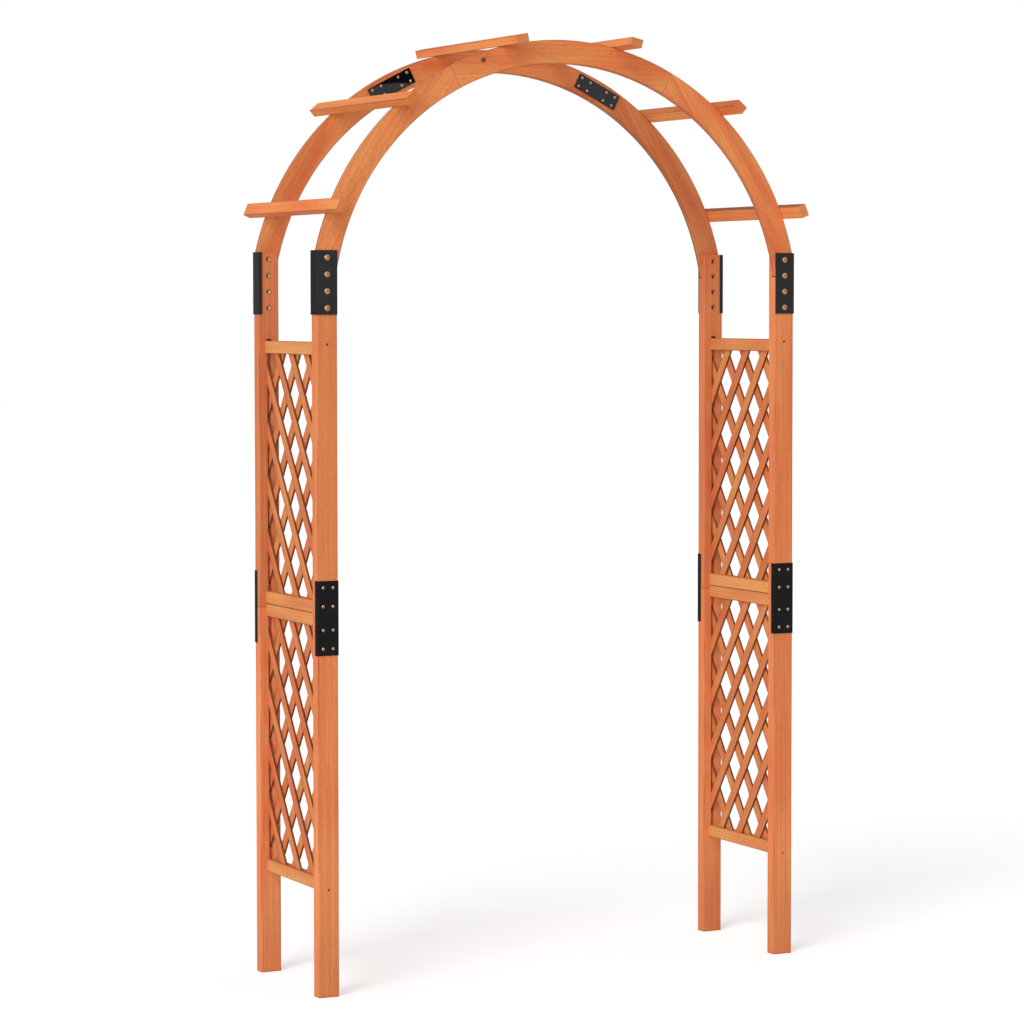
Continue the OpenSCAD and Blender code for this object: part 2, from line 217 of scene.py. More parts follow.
# colours, then how strongly and how widely they show
stainedWood = {
    "golden": linear(0.875, 0.55, 0.312),
    "middle": linear(0.855, 0.488, 0.28),
    "red": linear(0.825, 0.43, 0.242),
    "lateWood": linear(0.66, 0.32, 0.18),
    "pore": linear(0.47, 0.22, 0.12),
    "knot": linear(0.28, 0.14, 0.08),
    "edge": linear(0.5, 0.36, 0.27),
    "sawnFace": linear(0.93, 0.9, 0.88),
    "endGrain": linear(0.7, 0.38, 0.22),
    "toneStops": (0.36, 0.5, 0.64),     # red, middle and golden along the tone of the grain
    "ringPitch": 0.006,
    "ringWander": 0.02,
    "ringDepth": 0.13,
    "streakDepth": 0.32,
    "poreDepth": 0.3,
    "mottle": 0.24,
    "knotDepth": 0.85,
    "knotEdge": (0.45, 1.15),           # a knot fades out between these shares of its size
    "knotSwirl": (3.4, 0.011),          # how far round a knot the rings bend, and by how much
    "sawnDepth": 0.75,
    "endGrainDepth": 0.3,
    "edgeWidth": 0.0022,                # stain gathers along the edges of a board
    "edgeDepth": 0.85,
    "archEdge": (0.0005, 0.0165),       # on an arch it widens from the front face to the back
    "edgePatches": ((5.0, 3.0, 3.0), 1.0),  # along a post the dark edge comes and goes
    "patchCut": (0.45, 0.62, 0.2, 1.0),
    "lineCore": 0.0002,                 # the darkest part of a drawn line
    "grainStep": (3.7, 0.31, 0.17),     # shift of the grain from one seed to the next
    "lathStep": (4.0, 0.3, 0.3),        # most that the grain shifts from lath to lath
    "relief": {"fibre": 0.6, "rings": 0.3, "pores": -0.4, "knot": -0.5},
    "bump": (0.3, 0.0004),
    "roughness": (0.55, 0.75),
    "specular": 0.2,
}


# rotation that turns X onto the grain and Y close to the side direction
def axesAlong(grain, side):
    x = Vector(grain).normalized()
    z = x.cross(Vector(side)).normalized()
    y = z.cross(x)
    return Matrix((x, y, z)).transposed()


# counts laths across their layer; whole numbers fall midway between two of them
def lathTurns(tree, across, pitch):
    return maths(tree, "MULTIPLY_ADD", across, 1 / pitch, 0.5)


# shifts the grain, so that no two boards or laths look alike
def shiftedGrain(tree, board, local, wood):
    if "lathPitch" not in board:
        return vectorMaths(tree, "ADD", local, [board["seed"] * step for step in wood["grainStep"]])
    turns = lathTurns(tree, splitVector(tree, local)["Y"], board["lathPitch"])
    own = maths(tree, "ADD", maths(tree, "FLOOR", turns), board["seed"])
    shift = addNode(tree, "ShaderNodeTexWhiteNoise", {"W": own}, noise_dimensions="1D").outputs["Color"]
    return vectorMaths(tree, "ADD", local, vectorMaths(tree, "MULTIPLY", shift, wood["lathStep"]))


# the heart of the log lies beside the board, in another place for each board
def pithPlace(start):
    return (start, 0.06 + 0.05 * math.sin(start * 5), -0.05 - 0.04 * math.cos(start * 3))


# how near a point is to the long edges of its board: 1 on the edge, 0 on the open face
def edgeNearness(tree, board, place, local, wood):
    widths = [wood["edgeWidth"], wood["edgeWidth"]]
    if "arc" in board:
        radius, halfBand, rowY, halfThick = board["arc"]
        fromCentre = vectorMaths(tree, "SUBTRACT", place, (0, 0, arbor["archZ"]))
        spoke = vectorMaths(tree, "MULTIPLY", fromCentre, (1, 0, 1))
        across = maths(tree, "SUBTRACT", lengthOf(tree, spoke), radius)
        through = maths(tree, "SUBTRACT", splitVector(tree, place)["Y"], rowY)
        halves = (halfBand, halfThick)
        widths[1] = mapRange(tree, through, -halfThick, halfThick, *wood["archEdge"])
    else:
        across, through = splitVector(tree, local)["Y"], splitVector(tree, local)["Z"]
        halves = board["section"]
    if "lathPitch" in board:
        turns = maths(tree, "FRACT", lathTurns(tree, across, board["lathPitch"]))
        across = times(tree, maths(tree, "SUBTRACT", turns, 0.5), board["lathPitch"])
        return fade(tree, absolute(tree, across), halves[0] - widths[0], halves[0], 0.0, 1.0)
    near = []
    for value, half, reach in zip((across, through), halves, widths):
        inside = maths(tree, "SUBTRACT", half, absolute(tree, value))
        near.append(fade(tree, maths(tree, "DIVIDE", inside, reach), 0.0, 1.0))
    return times(tree, near[0], near[1])


# dark line where two boards meet, or a line of painted shade
def drawLine(tree, colour, place, line, wood):
    off = dot(tree, vectorMaths(tree, "SUBTRACT", place, line["at"]), line["across"])
    dark = fade(tree, absolute(tree, off), wood["lineCore"], line["width"], line["depth"], 0.0)
    if "outside" in line:
        away = absolute(tree, splitVector(tree, place)["Y"])
        dark = times(tree, dark, maths(tree, "GREATER_THAN", away, line["outside"]))
    return mixColour(tree, "MULTIPLY", dark, colour, wood["knot"])


# open end of a groove, drawn as a dark patch of painted shade
def drawSlotShade(tree, colour, place, slot):
    off = splitVector(tree, vectorMaths(tree, "SUBTRACT", place, slot["at"]))
    cover = slot["depth"]
    for axis, half in zip("XYZ", slot["half"]):
        inside = fade(tree, absolute(tree, off[axis]), half - slot["soft"], half + slot["soft"])
        cover = times(tree, cover, inside)
    return mixColour(tree, "MIX", cover, colour, slot["colour"])


def woodMaterial(name, board, wood=stainedWood):
    material, tree = emptyMaterial(name)
    turn = axesAlong(board["grain"], board["side"])
    centre = Vector(board["centre"])
    place = objectPlace(tree)
    mapping = {"Vector": place, "Location": centre, "Rotation": turn.to_euler("XYZ")}
    local = addNode(tree, "ShaderNodeMapping", mapping, vector_type="TEXTURE").outputs["Vector"]
    grainPlace = shiftedGrain(tree, board, local, wood)
    grain = addNode(tree, "ShaderNodeGroup", {
        "Vector": grainPlace, "Pith": pithPlace(board["seed"] * wood["grainStep"][0]),
        "Ring pitch": wood["ringPitch"], "Wander": wood["ringWander"]}, node_tree=boardGrain)
    rings, streaks, tone, fibre, pores, mottle = grain.outputs
    knot, knotMask = board.get("knot"), None
    if knot:
        at = turn.transposed() @ (Vector(knot["at"]) - centre)
        away = vectorMaths(tree, "MULTIPLY", vectorMaths(tree, "SUBTRACT", local, at), (knot["long"], 1.0, 1.0))
        distance = maths(tree, "DIVIDE", lengthOf(tree, away), knot["size"])
        reach, bend = wood["knotSwirl"]
        tree.links.new(fade(tree, distance, 0.0, reach, bend, 0.0), grain.inputs["Swirl"])
        knotMask = fade(tree, distance, *wood["knotEdge"], knot["depth"], 0.0)

    colour = ramp(tree, tone, list(zip(wood["toneStops"], (wood["red"], wood["middle"], wood["golden"]))))
    lined = wood["streakDepth"] * board.get("streak", 1.0)
    value = maths(tree, "MULTIPLY_ADD", streaks, lined, 1 - lined / 2)
    speckle = wood["mottle"] * board.get("speckle", 1.0)
    value = times(tree, value, maths(tree, "MULTIPLY_ADD", mottle, speckle, 1 - speckle / 2))
    brightness, hue, saturation = board["tint"]
    value = times(tree, value, brightness)
    # painted shade, darker towards the foot of the post
    if "damp" in board:
        top, depth = board["damp"]
        value = times(tree, value, fade(tree, splitVector(tree, place)["Z"], 0.0, top, 1 - depth, 1.0))
    colour = addNode(tree, "ShaderNodeHueSaturation", {"Color": colour, "Hue": hue, "Saturation": saturation,
                                                       "Value": value}).outputs["Color"]
    colour = mixColour(tree, "MIX", times(tree, rings, wood["ringDepth"]), colour, wood["lateWood"])
    colour = mixColour(tree, "MIX", times(tree, pores, wood["poreDepth"]), colour, wood["pore"])
    if knot:
        colour = mixColour(tree, "MIX", times(tree, knotMask, wood["knotDepth"]), colour, wood["knot"])

    normal = faceNormal(tree)
    if "arc" in board:  # the curved sides are sawn, not planed
        flat = absolute(tree, splitVector(tree, normal)["Y"])
        sawn = fade(tree, flat, 0.2, 0.6, wood["sawnDepth"], 0.0)
        colour = mixColour(tree, "MULTIPLY", sawn, colour, wood["sawnFace"])
    along = dot(tree, normal, Vector(board["grain"]).normalized())
    endGrain = fade(tree, absolute(tree, along), 0.86, 0.97, 0.0, wood["endGrainDepth"])
    colour = mixColour(tree, "MIX", endGrain, colour, wood["endGrain"])
    # faces that point one way are made darker
    if "darkFace" in board:
        facing, depth = board["darkFace"]
        faceDarkening = fade(tree, dot(tree, normal, facing), 0.8, 0.95, 0.0, depth)
        colour = mixColour(tree, "MULTIPLY", faceDarkening, colour, wood["edge"])
    edge = edgeNearness(tree, board, place, local, wood)
    if "patchyEdge" in board:
        patches = noise(tree, grainPlace, *wood["edgePatches"])
        edge = times(tree, edge, fade(tree, patches, *wood["patchCut"]))
    edge = times(tree, edge, board.get("edgeDepth", wood["edgeDepth"]))
    colour = mixColour(tree, "MULTIPLY", edge, colour, wood["edge"])
    for line in board.get("lines", []):
        colour = drawLine(tree, colour, place, line, wood)
    if "slot" in board:
        colour = drawSlotShade(tree, colour, place, board["slot"])

    relief = wood["relief"]
    height = times(tree, fibre, relief["fibre"])
    for mask, amount in ((rings, relief["rings"]), (pores, relief["pores"]), (knotMask, relief["knot"])):
        if mask is not None:
            height = maths(tree, "MULTIPLY_ADD", mask, amount, height)
    finishSurface(tree, height, wood["bump"], {
        "Base Color": colour, "Roughness": mapRange(tree, streaks, 0.0, 1.0, *wood["roughness"]),
        "Specular IOR Level": wood["specular"]})
    return material


def dress(node, material):
    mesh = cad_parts[node].data
    mesh.materials.clear()
    mesh.materials.append(material)


# a point on an arch, its angle counted from the top towards the right
def onArch(angle, radius, y):
    turn = math.radians(angle)
    return (math.sin(turn) * radius, y, arbor["archZ"] + math.cos(turn) * radius)


# line at one height; with outside it shows only past that Y
def levelLine(height, width=0.001, depth=0.7, **limit):
    return {"at": (0, 0, height), "across": (0, 0, 1), "width": width, "depth": depth, **limit}


def seamLine(side, width=0.001, depth=0.38):
    angle = sideSign[side] * arbor["seamAngle"]
    turn = math.radians(angle)
    return {"at": onArch(angle, arbor["archRadius"], 0), "across": (math.cos(turn), 0, -math.sin(turn)),
            "width": width, "depth": depth}


# sections are half widths; tints are tone, hue and saturation, and 1.0, 0.5, 1.0 leaves a board as it is
posts = {
    "section": (0.0225, 0.014),
    "streak": 1.9,
    "wood": dict(stainedWood, golden=linear(0.89, 0.54, 0.318), middle=linear(0.878, 0.51, 0.3),
                 red=linear(0.862, 0.478, 0.28)),
    "damp": (0.27, 0.15),   # painted shade at the feet: how high it reaches and how much darker it makes them
    "joint": levelLine(arbor["jointZ"]),
    # painted shade where the foot of the post stands on the floor
    "floorContactShade": levelLine(0, 0.003, 0.6),
    # joint line under the foot of the arch, widened into painted shade
    "shoulder": levelLine(arbor["shoulderZ"], 0.005, 0.9, outside=arbor["postY"] - 0.0005),
    # painted shade where the lattice groove ends, just above the top rail
    "grooveEndShade": {"height": 1.3525, "half": (0.0055, 0.0006, 0.0036), "soft": 0.0003, "depth": 0.97,
                  "colour": linear(0.16, 0.02, 0.01)},
    "lower": {"front_left": (1.07, 0.499, 0.995), "front_right": (1.05, 0.499, 0.995),
              "back_left": (1.08, 0.4985, 0.983), "back_right": (1.05, 0.4975, 0.99)},
    "upper": {"front_left": (0.97, 0.499, 1.0), "front_right": (1.01, 0.499, 1.0),
              "back_left": (0.87, 0.499, 0.985), "back_right": (0.91, 0.4945, 1.0)},
    "seeds": {"lower": (1.3, 0), "upper": (1.7, 9)},   # factor and start, so that no two boards match
}
arches = {
    "halfBand": 0.025,
    "halfThick": 0.008,
    "sideLean": 58.0,       # slope of the straight boards that the sides are cut from
    "sideMiddle": 58,       # middle of a side board, in degrees from the top
    "tint": {"front_left": (1.15, 0.506, 0.98), "front_top": (1.09, 0.5, 1.0), "front_right": (1.08, 0.498, 1.0),
             "back_left": (1.03, 0.5, 1.0), "back_top": (1.05, 0.5, 1.0), "back_right": (0.93, 0.504, 0.98)},
    "speckle": {"front_left": 2.0, "front_right": 1.2, "back_left": 1.0, "back_right": 1.2},
    "streak": {"front_left": 0.4, "front_right": 1.7, "back_left": 1.0, "back_right": 2.2},
    "edgeDepth": {"front_left": 0.85, "front_right": 0.4, "back_left": 0.85, "back_right": 0.85},
    "knots": {"front_top": {"at": (-0.1858, -0.17, 1.9372), "size": 0.0072, "long": 1.1, "depth": 1.0}},
    "seeds": {"side": 1.9, "top": 2.3},
}
seed = 0
for row in rowSign:
    rowY = rowSign[row] * arbor["archY"]
    for side in sideSign:
        seed += 1
        corner = f"{row}_{side}"
        postX, postY = sideSign[side] * arbor["postX"], rowSign[row] * arbor["postY"]
        board = {"grain": (0, 0, 1), "side": (1, 0, 0), "section": posts["section"], "centre": (postX, postY, 0),
                 "streak": posts["streak"], "patchyEdge": True}
        slotPlace = (postX, rowSign[row] * arbor["innerY"], posts["grooveEndShade"]["height"])
        own = {"lower": {"lines": [posts["joint"], posts["floorContactShade"]], "damp": posts["damp"]},
               "upper": {"lines": [posts["joint"], posts["shoulder"]], "slot": dict(posts["grooveEndShade"], at=slotPlace)}}
        for level, marks in own.items():
            factor, start = posts["seeds"][level]
            part = dict(board, **marks, seed=seed * factor + start, tint=posts[level][corner])
            dress(f"{corner}_{level}_post", woodMaterial(f"{level}PostWood{seed}", part, posts["wood"]))
    arc = (arbor["archRadius"], arches["halfBand"], rowY, arches["halfThick"])
    for side in sideSign:
        seed += 1
        corner = f"{row}_{side}"
        lean = math.radians(arches["sideLean"])
        board = {"grain": (-sideSign[side] * math.cos(lean), 0, math.sin(lean)), "side": (0, 1, 0), "arc": arc,
                 "centre": onArch(sideSign[side] * arches["sideMiddle"], arbor["archRadius"], rowY),
                 "seed": seed * arches["seeds"]["side"], "tint": arches["tint"][corner],
                 "speckle": arches["speckle"][corner], "streak": arches["streak"][corner],
                 "edgeDepth": arches["edgeDepth"][corner],
                 "lines": [seamLine(side), levelLine(arbor["shoulderZ"])]}
        dress(f"{row}_arch_{side}", woodMaterial(f"archWood{seed}", board))
    seed += 1
    board = {"grain": (1, 0, 0), "side": (0, 1, 0), "arc": arc, "centre": onArch(0, arbor["archRadius"], rowY),
             "seed": seed * arches["seeds"]["top"], "tint": arches["tint"][f"{row}_top"],
             "knot": arches["knots"].get(f"{row}_top"), "lines": [seamLine("left"), seamLine("right")]}
    dress(f"{row}_arch_top", woodMaterial(f"archTopWood{seed}", board))

slats = {
    "angle": {"high": 13.2, "mid": 41.0, "low": 67.7},
    "middleRadius": 0.5869,
    "section": (0.009, 0.0135),
    "tint": {"left_high": (1.15, 0.502, 1.0), "left_mid": (1.17, 0.51, 1.0), "left_low": (1.09, 0.501, 1.01),
             "right_high": (1.13, 0.51, 0.98), "right_mid": (1.2, 0.502, 1.0), "right_low": (1.12, 0.503, 0.99)},
    "darkTop": {"right_low": 0.85, "right_mid": 0.45},    # the upper sides of these are darker
    "knots": {"left_low": {"at": (-0.5494, -0.1339, 1.6377), "size": 0.003, "long": 0.8, "depth": 0.5}},
    "seed": 1.1,
}
for side in sideSign:
    for level, angle in slats["angle"].items():
        seed += 1
        slat = f"{side}_{level}"
        turn = math.radians(sideSign[side] * angle)
        board = {"grain": (0, 1, 0), "side": (math.sin(turn), 0, math.cos(turn)), "section": slats["section"],
                 "centre": onArch(sideSign[side] * angle, slats["middleRadius"], 0),
                 "seed": seed * slats["seed"], "tint": slats["tint"][slat], "knot": slats["knots"].get(slat)}
        if slat in slats["darkTop"]:
            board["darkFace"] = ((-math.cos(turn), 0, math.sin(turn)), slats["darkTop"][slat])
        dress(f"slat_{slat}", woodMaterial(f"slatWood{seed}", board))
print("posts, arches and slats dressed")

panels = {
    "halfDiamond": 0.284 / 7,
    "diamond": 0.118,
    "railSection": (0.0135, 0.009),
    "lathSection": (0.0115, 0.004),
    "heights": {"lower": (0.218, 0.792), "upper": (0.792, 1.352)},
    "railTint": (1.0, 0.509, 0.975),
    "lathTint": (0.92, 0.502, 0.99),
    "seeds": {"rail": 1.37, "lath": 1.53},
}
lean = math.atan2(panels["diamond"] / 2, panels["halfDiamond"])
for side in sideSign:
    x = sideSign[side] * arbor["postX"]
    for level, (low, high) in panels["heights"].items():
        half = panels["railSection"][0]
        for rail, z in (("bottom", low + half), ("top", high - half)):
            seed += 1
            board = {"grain": (0, 1, 0), "side": (0, 0, 1), "section": panels["railSection"], "centre": (x, 0, z),
                     "seed": seed * panels["seeds"]["rail"], "tint": panels["railTint"]}
            dress(f"{side}_{level}_{rail}_rail", woodMaterial(f"railWood{seed}", board))
        for layer, sign in (("inner", -1), ("outer", 1)):
            seed += 1
            board = {"grain": (0, sign * math.cos(lean), math.sin(lean)),
                     "side": (0, math.sin(lean), -sign * math.cos(lean)),
                     "centre": (x, 0, (low + high) / 2), "section": panels["lathSection"],
                     "lathPitch": panels["diamond"] * math.cos(lean),
                     "seed": seed * panels["seeds"]["lath"], "tint": panels["lathTint"]}
            dress(f"{side}_{level}_{layer}_laths", woodMaterial(f"lathWood{seed}", board))
print("side panels dressed")

dowelBoard = {"grain": (0, 0, 1), "side": (1, 0, 0), "section": (0.1, 0.1), "centre": (0, 0, 0), "seed": 3.1,
              "tint": (1.0, 0.5, 1.0)}
dress("slat_dowels", woodMaterial("dowelWood", dowelBoard))

blackSteel = {
    "bracket": linear(0.188, 0.188, 0.188),
    "post_plate": linear(0.118, 0.118, 0.118),
    "arch_plate": linear(0.225, 0.225, 0.228),
    # painted shade: how much darker the sides that face left are
    "leftShade": {"front_bracket": 0.5, "back_bracket": 0.12, "front_post_plate": 0.3},
    # painted dark reflection over the top of one arch plate; its lower rim is a shallow curve
    "darkReflection": {"at": (-0.221, 1.9068), "bend": 1.9, "soft": 0.0025, "depth": 0.93},
    "cloud": ((22.0, 22.0, 22.0), 3.0),
    "peel": ((900.0, 900.0, 900.0), 2.0),
    "dust": 1.25,           # how much lighter the dusty patches are
    "dustSpread": (0.35, 0.75, 0.0, 0.6),
    "roughness": (0.5, 0.66),
    "specular": 0.02,
    "bump": (0.16, 0.0003),
}


def steelMaterial(name, colour, leftShade=0.0, darkReflection=None):
    material, tree = emptyMaterial(name)
    place = objectPlace(tree)
    cloud = noise(tree, place, *blackSteel["cloud"])
    peel = noise(tree, place, *blackSteel["peel"])
    dusty = [c * blackSteel["dust"] for c in colour]
    colour = mixColour(tree, "MIX", fade(tree, cloud, *blackSteel["dustSpread"]), colour, dusty)
    # painted shade on the sides that face left
    if leftShade:
        facing = times(tree, splitVector(tree, faceNormal(tree))["X"], -1.0)
        colour = mixColour(tree, "MULTIPLY", fade(tree, facing, 0.5, 0.95, 0.0, leftShade), colour, black)
    # painted dark reflection over the top of the plate
    if darkReflection:
        (reflectionX, reflectionZ), soft = darkReflection["at"], darkReflection["soft"]
        spot = splitVector(tree, place)
        aside = maths(tree, "SUBTRACT", spot["X"], reflectionX)
        above = maths(tree, "MULTIPLY_ADD", times(tree, aside, aside), darkReflection["bend"], spot["Z"])
        reflected = fade(tree, above, reflectionZ - soft, reflectionZ + soft, 0.0, darkReflection["depth"])
        colour = mixColour(tree, "MULTIPLY", reflected, colour, black)
    finishSurface(tree, peel, blackSteel["bump"], {
        "Base Color": colour, "Roughness": mapRange(tree, cloud, 0.3, 0.7, *blackSteel["roughness"]),
        "Specular IOR Level": blackSteel["specular"]})
    return material


archCoat = steelMaterial("archPlateCoat", blackSteel["arch_plate"])
for row in rowSign:
    coats = {}
    for part in ("bracket", "post_plate"):
        leftShade = blackSteel["leftShade"].get(f"{row}_{part}", 0.0)
        coats[part] = steelMaterial(f"{row}_{part}_coat", blackSteel[part], leftShade)
    for side in sideSign:
        dress(f"{row}_{side}_bracket", coats["bracket"])
        dress(f"{row}_{side}_post_plate", coats["post_plate"])
        dress(f"{row}_arch_{side}_plate", archCoat)
reflectionCoat = steelMaterial("reflectedPlateCoat", blackSteel["arch_plate"], darkReflection=blackSteel["darkReflection"])
dress("back_arch_left_plate", reflectionCoat)
print("brackets and plates dressed")

metals = {
    "copperPlate": {"colour": linear(0.72, 0.56, 0.43), "tarnish": linear(0.5, 0.36, 0.26),
                    "roughness": (0.24, 0.36), "metallic": 0.85},
    "dullCopper": {"colour": linear(0.66, 0.56, 0.49), "tarnish": linear(0.48, 0.4, 0.35),
                   "roughness": (0.3, 0.42), "metallic": 0.8},
    "paleBrass": {"colour": linear(1.0, 0.83, 0.68), "tarnish": linear(1.0, 0.78, 0.62),
                  "roughness": (0.35, 0.5), "metallic": 0.15,
                  "cupShade": linear(0.4, 0.17, 0.04),     # painted shade to one side in the bottom of a cup
                  "cupShadeDepth": (0.1472, 0.1478),       # the Y where it starts and is full
                  "cupShadeSide": (0.0024, 0.0034),        # where it ends across the cup
                  "cupShadeShift": 0.0015,
                  "rim": linear(0.5, 0.26, 0.12),       # darker lip of the cup
                  "rimDepth": (0.14255, 0.1429)},
    "darkZinc": {"colour": linear(0.52, 0.37, 0.28), "tarnish": linear(0.36, 0.24, 0.17),
                 "roughness": (0.45, 0.6), "metallic": 0.6},
}
tarnishPattern = {
    "cloud": ((260.0, 260.0, 260.0), 3.0),
    "fine": ((3000.0, 3000.0, 3000.0), 2.0),
    "spread": (0.4, 0.7, 0.0, 0.6),
    "bump": (0.12, 0.0001),
}


def metalMaterial(name):
    metal = metals[name]
    material, tree = emptyMaterial(name)
    place = objectPlace(tree)
    cloud = noise(tree, place, *tarnishPattern["cloud"])
    fine = noise(tree, place, *tarnishPattern["fine"])
    tarnished = fade(tree, cloud, *tarnishPattern["spread"])
    colour = mixColour(tree, "MIX", tarnished, metal["colour"], metal["tarnish"])
    # painted shade over the left part of the bottom of each cup
    if "cupShade" in metal:
        spot = splitVector(tree, place)
        depth = absolute(tree, spot["Y"])
        middle = times(tree, maths(tree, "SIGN", spot["X"]), arbor["postX"] + metal["cupShadeShift"])
        aside = maths(tree, "SUBTRACT", spot["X"], middle)
        bottom = times(tree, fade(tree, depth, *metal["cupShadeDepth"], 0.0, 1.0), fade(tree, aside, *metal["cupShadeSide"]))
        colour = mixColour(tree, "MIX", bottom, colour, metal["cupShade"])
        colour = mixColour(tree, "MIX", fade(tree, depth, *metal["rimDepth"]), colour, metal["rim"])
    finishSurface(tree, fine, tarnishPattern["bump"], {
        "Base Color": colour, "Roughness": mapRange(tree, cloud, 0.3, 0.7, *metal["roughness"]),
        "Metallic": metal["metallic"]})
    return material


metalFinish = {name: metalMaterial(name) for name in metals}


# a geometry tree with one named input for each size
def sizedTree(name, sizes):
    tree = bpy.data.node_groups.new(name, "GeometryNodeTree")
    for label, value in sizes.items():
        kind = "NodeSocketInt" if isinstance(value, int) else "NodeSocketFloat"
        tree.interface.new_socket(label, in_out="INPUT", socket_type=kind).default_value = value
    tree.interface.new_socket("Geometry", in_out="OUTPUT", socket_type="NodeSocketGeometry")
    return tree, tree.nodes.new("NodeGroupInput").outputs


def combine(tree, x=0.0, y=0.0, z=0.0):
    return addNode(tree, "ShaderNodeCombineXYZ", {"X": x, "Y": y, "Z": z}).outputs[0]


def move(tree, shape, by=(0, 0, 0), turn=(0, 0, 0)):
    return addNode(tree, "GeometryNodeTransform", {"Geometry": shape, "Translation": by, "Rotation": turn}).outputs[0]


def join(tree, shapes):
    node = tree.nodes.new("GeometryNodeJoinGeometry")
    for shape in shapes:
        tree.links.new(shape, node.inputs[0])
    return node.outputs[0]


def cut(tree, shape, tools):
    node = addNode(tree, "GeometryNodeMeshBoolean", operation="DIFFERENCE", solver="EXACT")
    tree.links.new(shape, node.inputs["Mesh 1"])
    for tool in tools:
        tree.links.new(tool, node.inputs["Mesh 2"])
    return node.outputs["Mesh"]


def roundBar(tree, radius, length, segments, rings=1, fill="NGON"):
    sizes = {"Vertices": segments, "Side Segments": 1, "Fill Segments": rings, "Radius": radius, "Depth": length}
    return addNode(tree, "GeometryNodeMeshCylinder", sizes, fill_type=fill).outputs["Mesh"]


def hexBar(tree, acrossFlats, length):
    return roundBar(tree, times(tree, acrossFlats, 0.5 / math.cos(math.radians(30))), length, 6)


# a round bar that stands on Z = 0 and ends in a low dome
def domedBar(tree, diameter, height, dome, segments=32, rings=6):
    radius = times(tree, diameter, 0.5)
    straight = maths(tree, "SUBTRACT", height, dome)
    middle = times(tree, straight, 0.5)
    bar = roundBar(tree, radius, straight, segments, rings, "TRIANGLE_FAN")
    bar = move(tree, bar, combine(tree, z=middle))
    spot = tree.nodes.new("GeometryNodeInputPosition").outputs[0]
    flatSpot = vectorMaths(tree, "MULTIPLY", spot, (1, 1, 0))
    away = maths(tree, "DIVIDE", lengthOf(tree, flatSpot), radius)
    rise = times(tree, maths(tree, "SUBTRACT", 1.0, times(tree, away, away), clamp=True), dome)
    upper = maths(tree, "GREATER_THAN", splitVector(tree, spot)["Z"], middle)
    raised = {"Geometry": bar, "Selection": upper, "Offset": combine(tree, z=rise)}
    return addNode(tree, "GeometryNodeSetPosition", raised).outputs[0]


# sets a shape that points along Z on points of the back row, then repeats the row at the front
def onBothRows(tree, shape, points, outwards, seed, material, crease=32):
    turn = (-math.pi / 2, 0, 0) if outwards else (math.pi / 2, 0, 0)
    spread = addNode(tree, "GeometryNodeInstanceOnPoints",
                     {"Points": points, "Instance": shape, "Rotation": turn}).outputs[0]
    spin = addNode(tree, "FunctionNodeRandomValue", {2: 0.0, 3: 2 * math.pi, "Seed": seed},
                   data_type="FLOAT").outputs[1]
    spread = addNode(tree, "GeometryNodeRotateInstances",
                     {"Instances": spread, "Rotation": combine(tree, z=spin), "Local Space": True}).outputs[0]
    both = join(tree, [spread, move(tree, spread, turn=(0, 0, math.pi))])
    real = addNode(tree, "GeometryNodeRealizeInstances", {0: both}).outputs[0]
    smooth = addNode(tree, "GeometryNodeSetShadeSmooth", {0: real, "Shade Smooth": True}, domain="FACE").outputs[0]
    angle = tree.nodes.new("GeometryNodeInputMeshEdgeAngle").outputs[0]
    sharp = addNode(tree, "FunctionNodeCompare", {0: angle, 1: math.radians(crease)},
                    data_type="FLOAT", operation="GREATER_THAN").outputs[0]
    crisp = addNode(tree, "GeometryNodeSetShadeSmooth", {0: smooth, "Selection": sharp, "Shade Smooth": False},
                    domain="EDGE").outputs[0]
    dressed = addNode(tree, "GeometryNodeSetMaterial", {"Geometry": crisp, "Material": material}).outputs[0]
    tree.links.new(dressed, tree.nodes.new("NodeGroupOutput").inputs[0])


# a column of points on each side, from the top one down
def columnPoints(tree, count, x, y, z, pitch):
    down = combine(tree, z=times(tree, pitch, -1.0))
    columns = []
    for side in (x, times(tree, x, -1.0)):
        start = combine(tree, side, y, z)
        columns.append(addNode(tree, "GeometryNodeMeshLine",
                               {"Count": count, "Start Location": start, "Offset": down}).outputs[0])
    return join(tree, columns)


# eight points about the origin, four to each side of a joint that lies across X or across Z
def eightPoints(tree, width, near, far, alongX):
    half = times(tree, width, 0.5)
    step = maths(tree, "SUBTRACT", far, near)
    start = combine(tree, near, 0.0, half) if alongX else combine(tree, half, 0.0, near)
    offset = combine(tree, step) if alongX else combine(tree, z=step)
    pair = addNode(tree, "GeometryNodeMeshLine", {"Count": 2, "Start Location": start, "Offset": offset}).outputs[0]
    halfTurns = ((math.pi, 0, 0), (0, math.pi, 0), (0, 0, math.pi))
    return join(tree, [pair] + [move(tree, pair, turn=turn) for turn in halfTurns])


# runs a tree and keeps its result as a plain mesh that stands for a CAD node
def bakePiece(name, tree, sizes, node):
    holder = bpy.data.objects.new(name, bpy.data.meshes.new(name))
    bpy.context.scene.collection.objects.link(holder)
    modifier = holder.modifiers.new("shape", "NODES")
    modifier.node_group = tree
    for item in tree.interface.items_tree:
        if item.item_type == "SOCKET" and item.in_out == "INPUT":
            modifier[item.identifier] = sizes[item.name]
    result = bpy.data.meshes.new_from_object(holder.evaluated_get(bpy.context.evaluated_depsgraph_get()))
    holder.modifiers.remove(modifier)
    holder.data = result
    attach(holder, "root")
    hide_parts(node)
    print(name, len(result.polygons), "faces")


bolts = {
    "Head width": 0.012,
    "Head height": 0.0033,
    "Head dome": 0.0024,
    "Socket flats": 0.0046,
    "Socket depth": 0.0032,
    "Bolt width": 0.006,
    "Bolt length": 0.0205,
    "End dome": 0.001,
    "Bolts": 4,
    "Pitch": 0.0345,
    "Post X": arbor["postX"],
    "Face Y": 0.172,
    "First Z": 1.525,
    "Seed": 5,
}


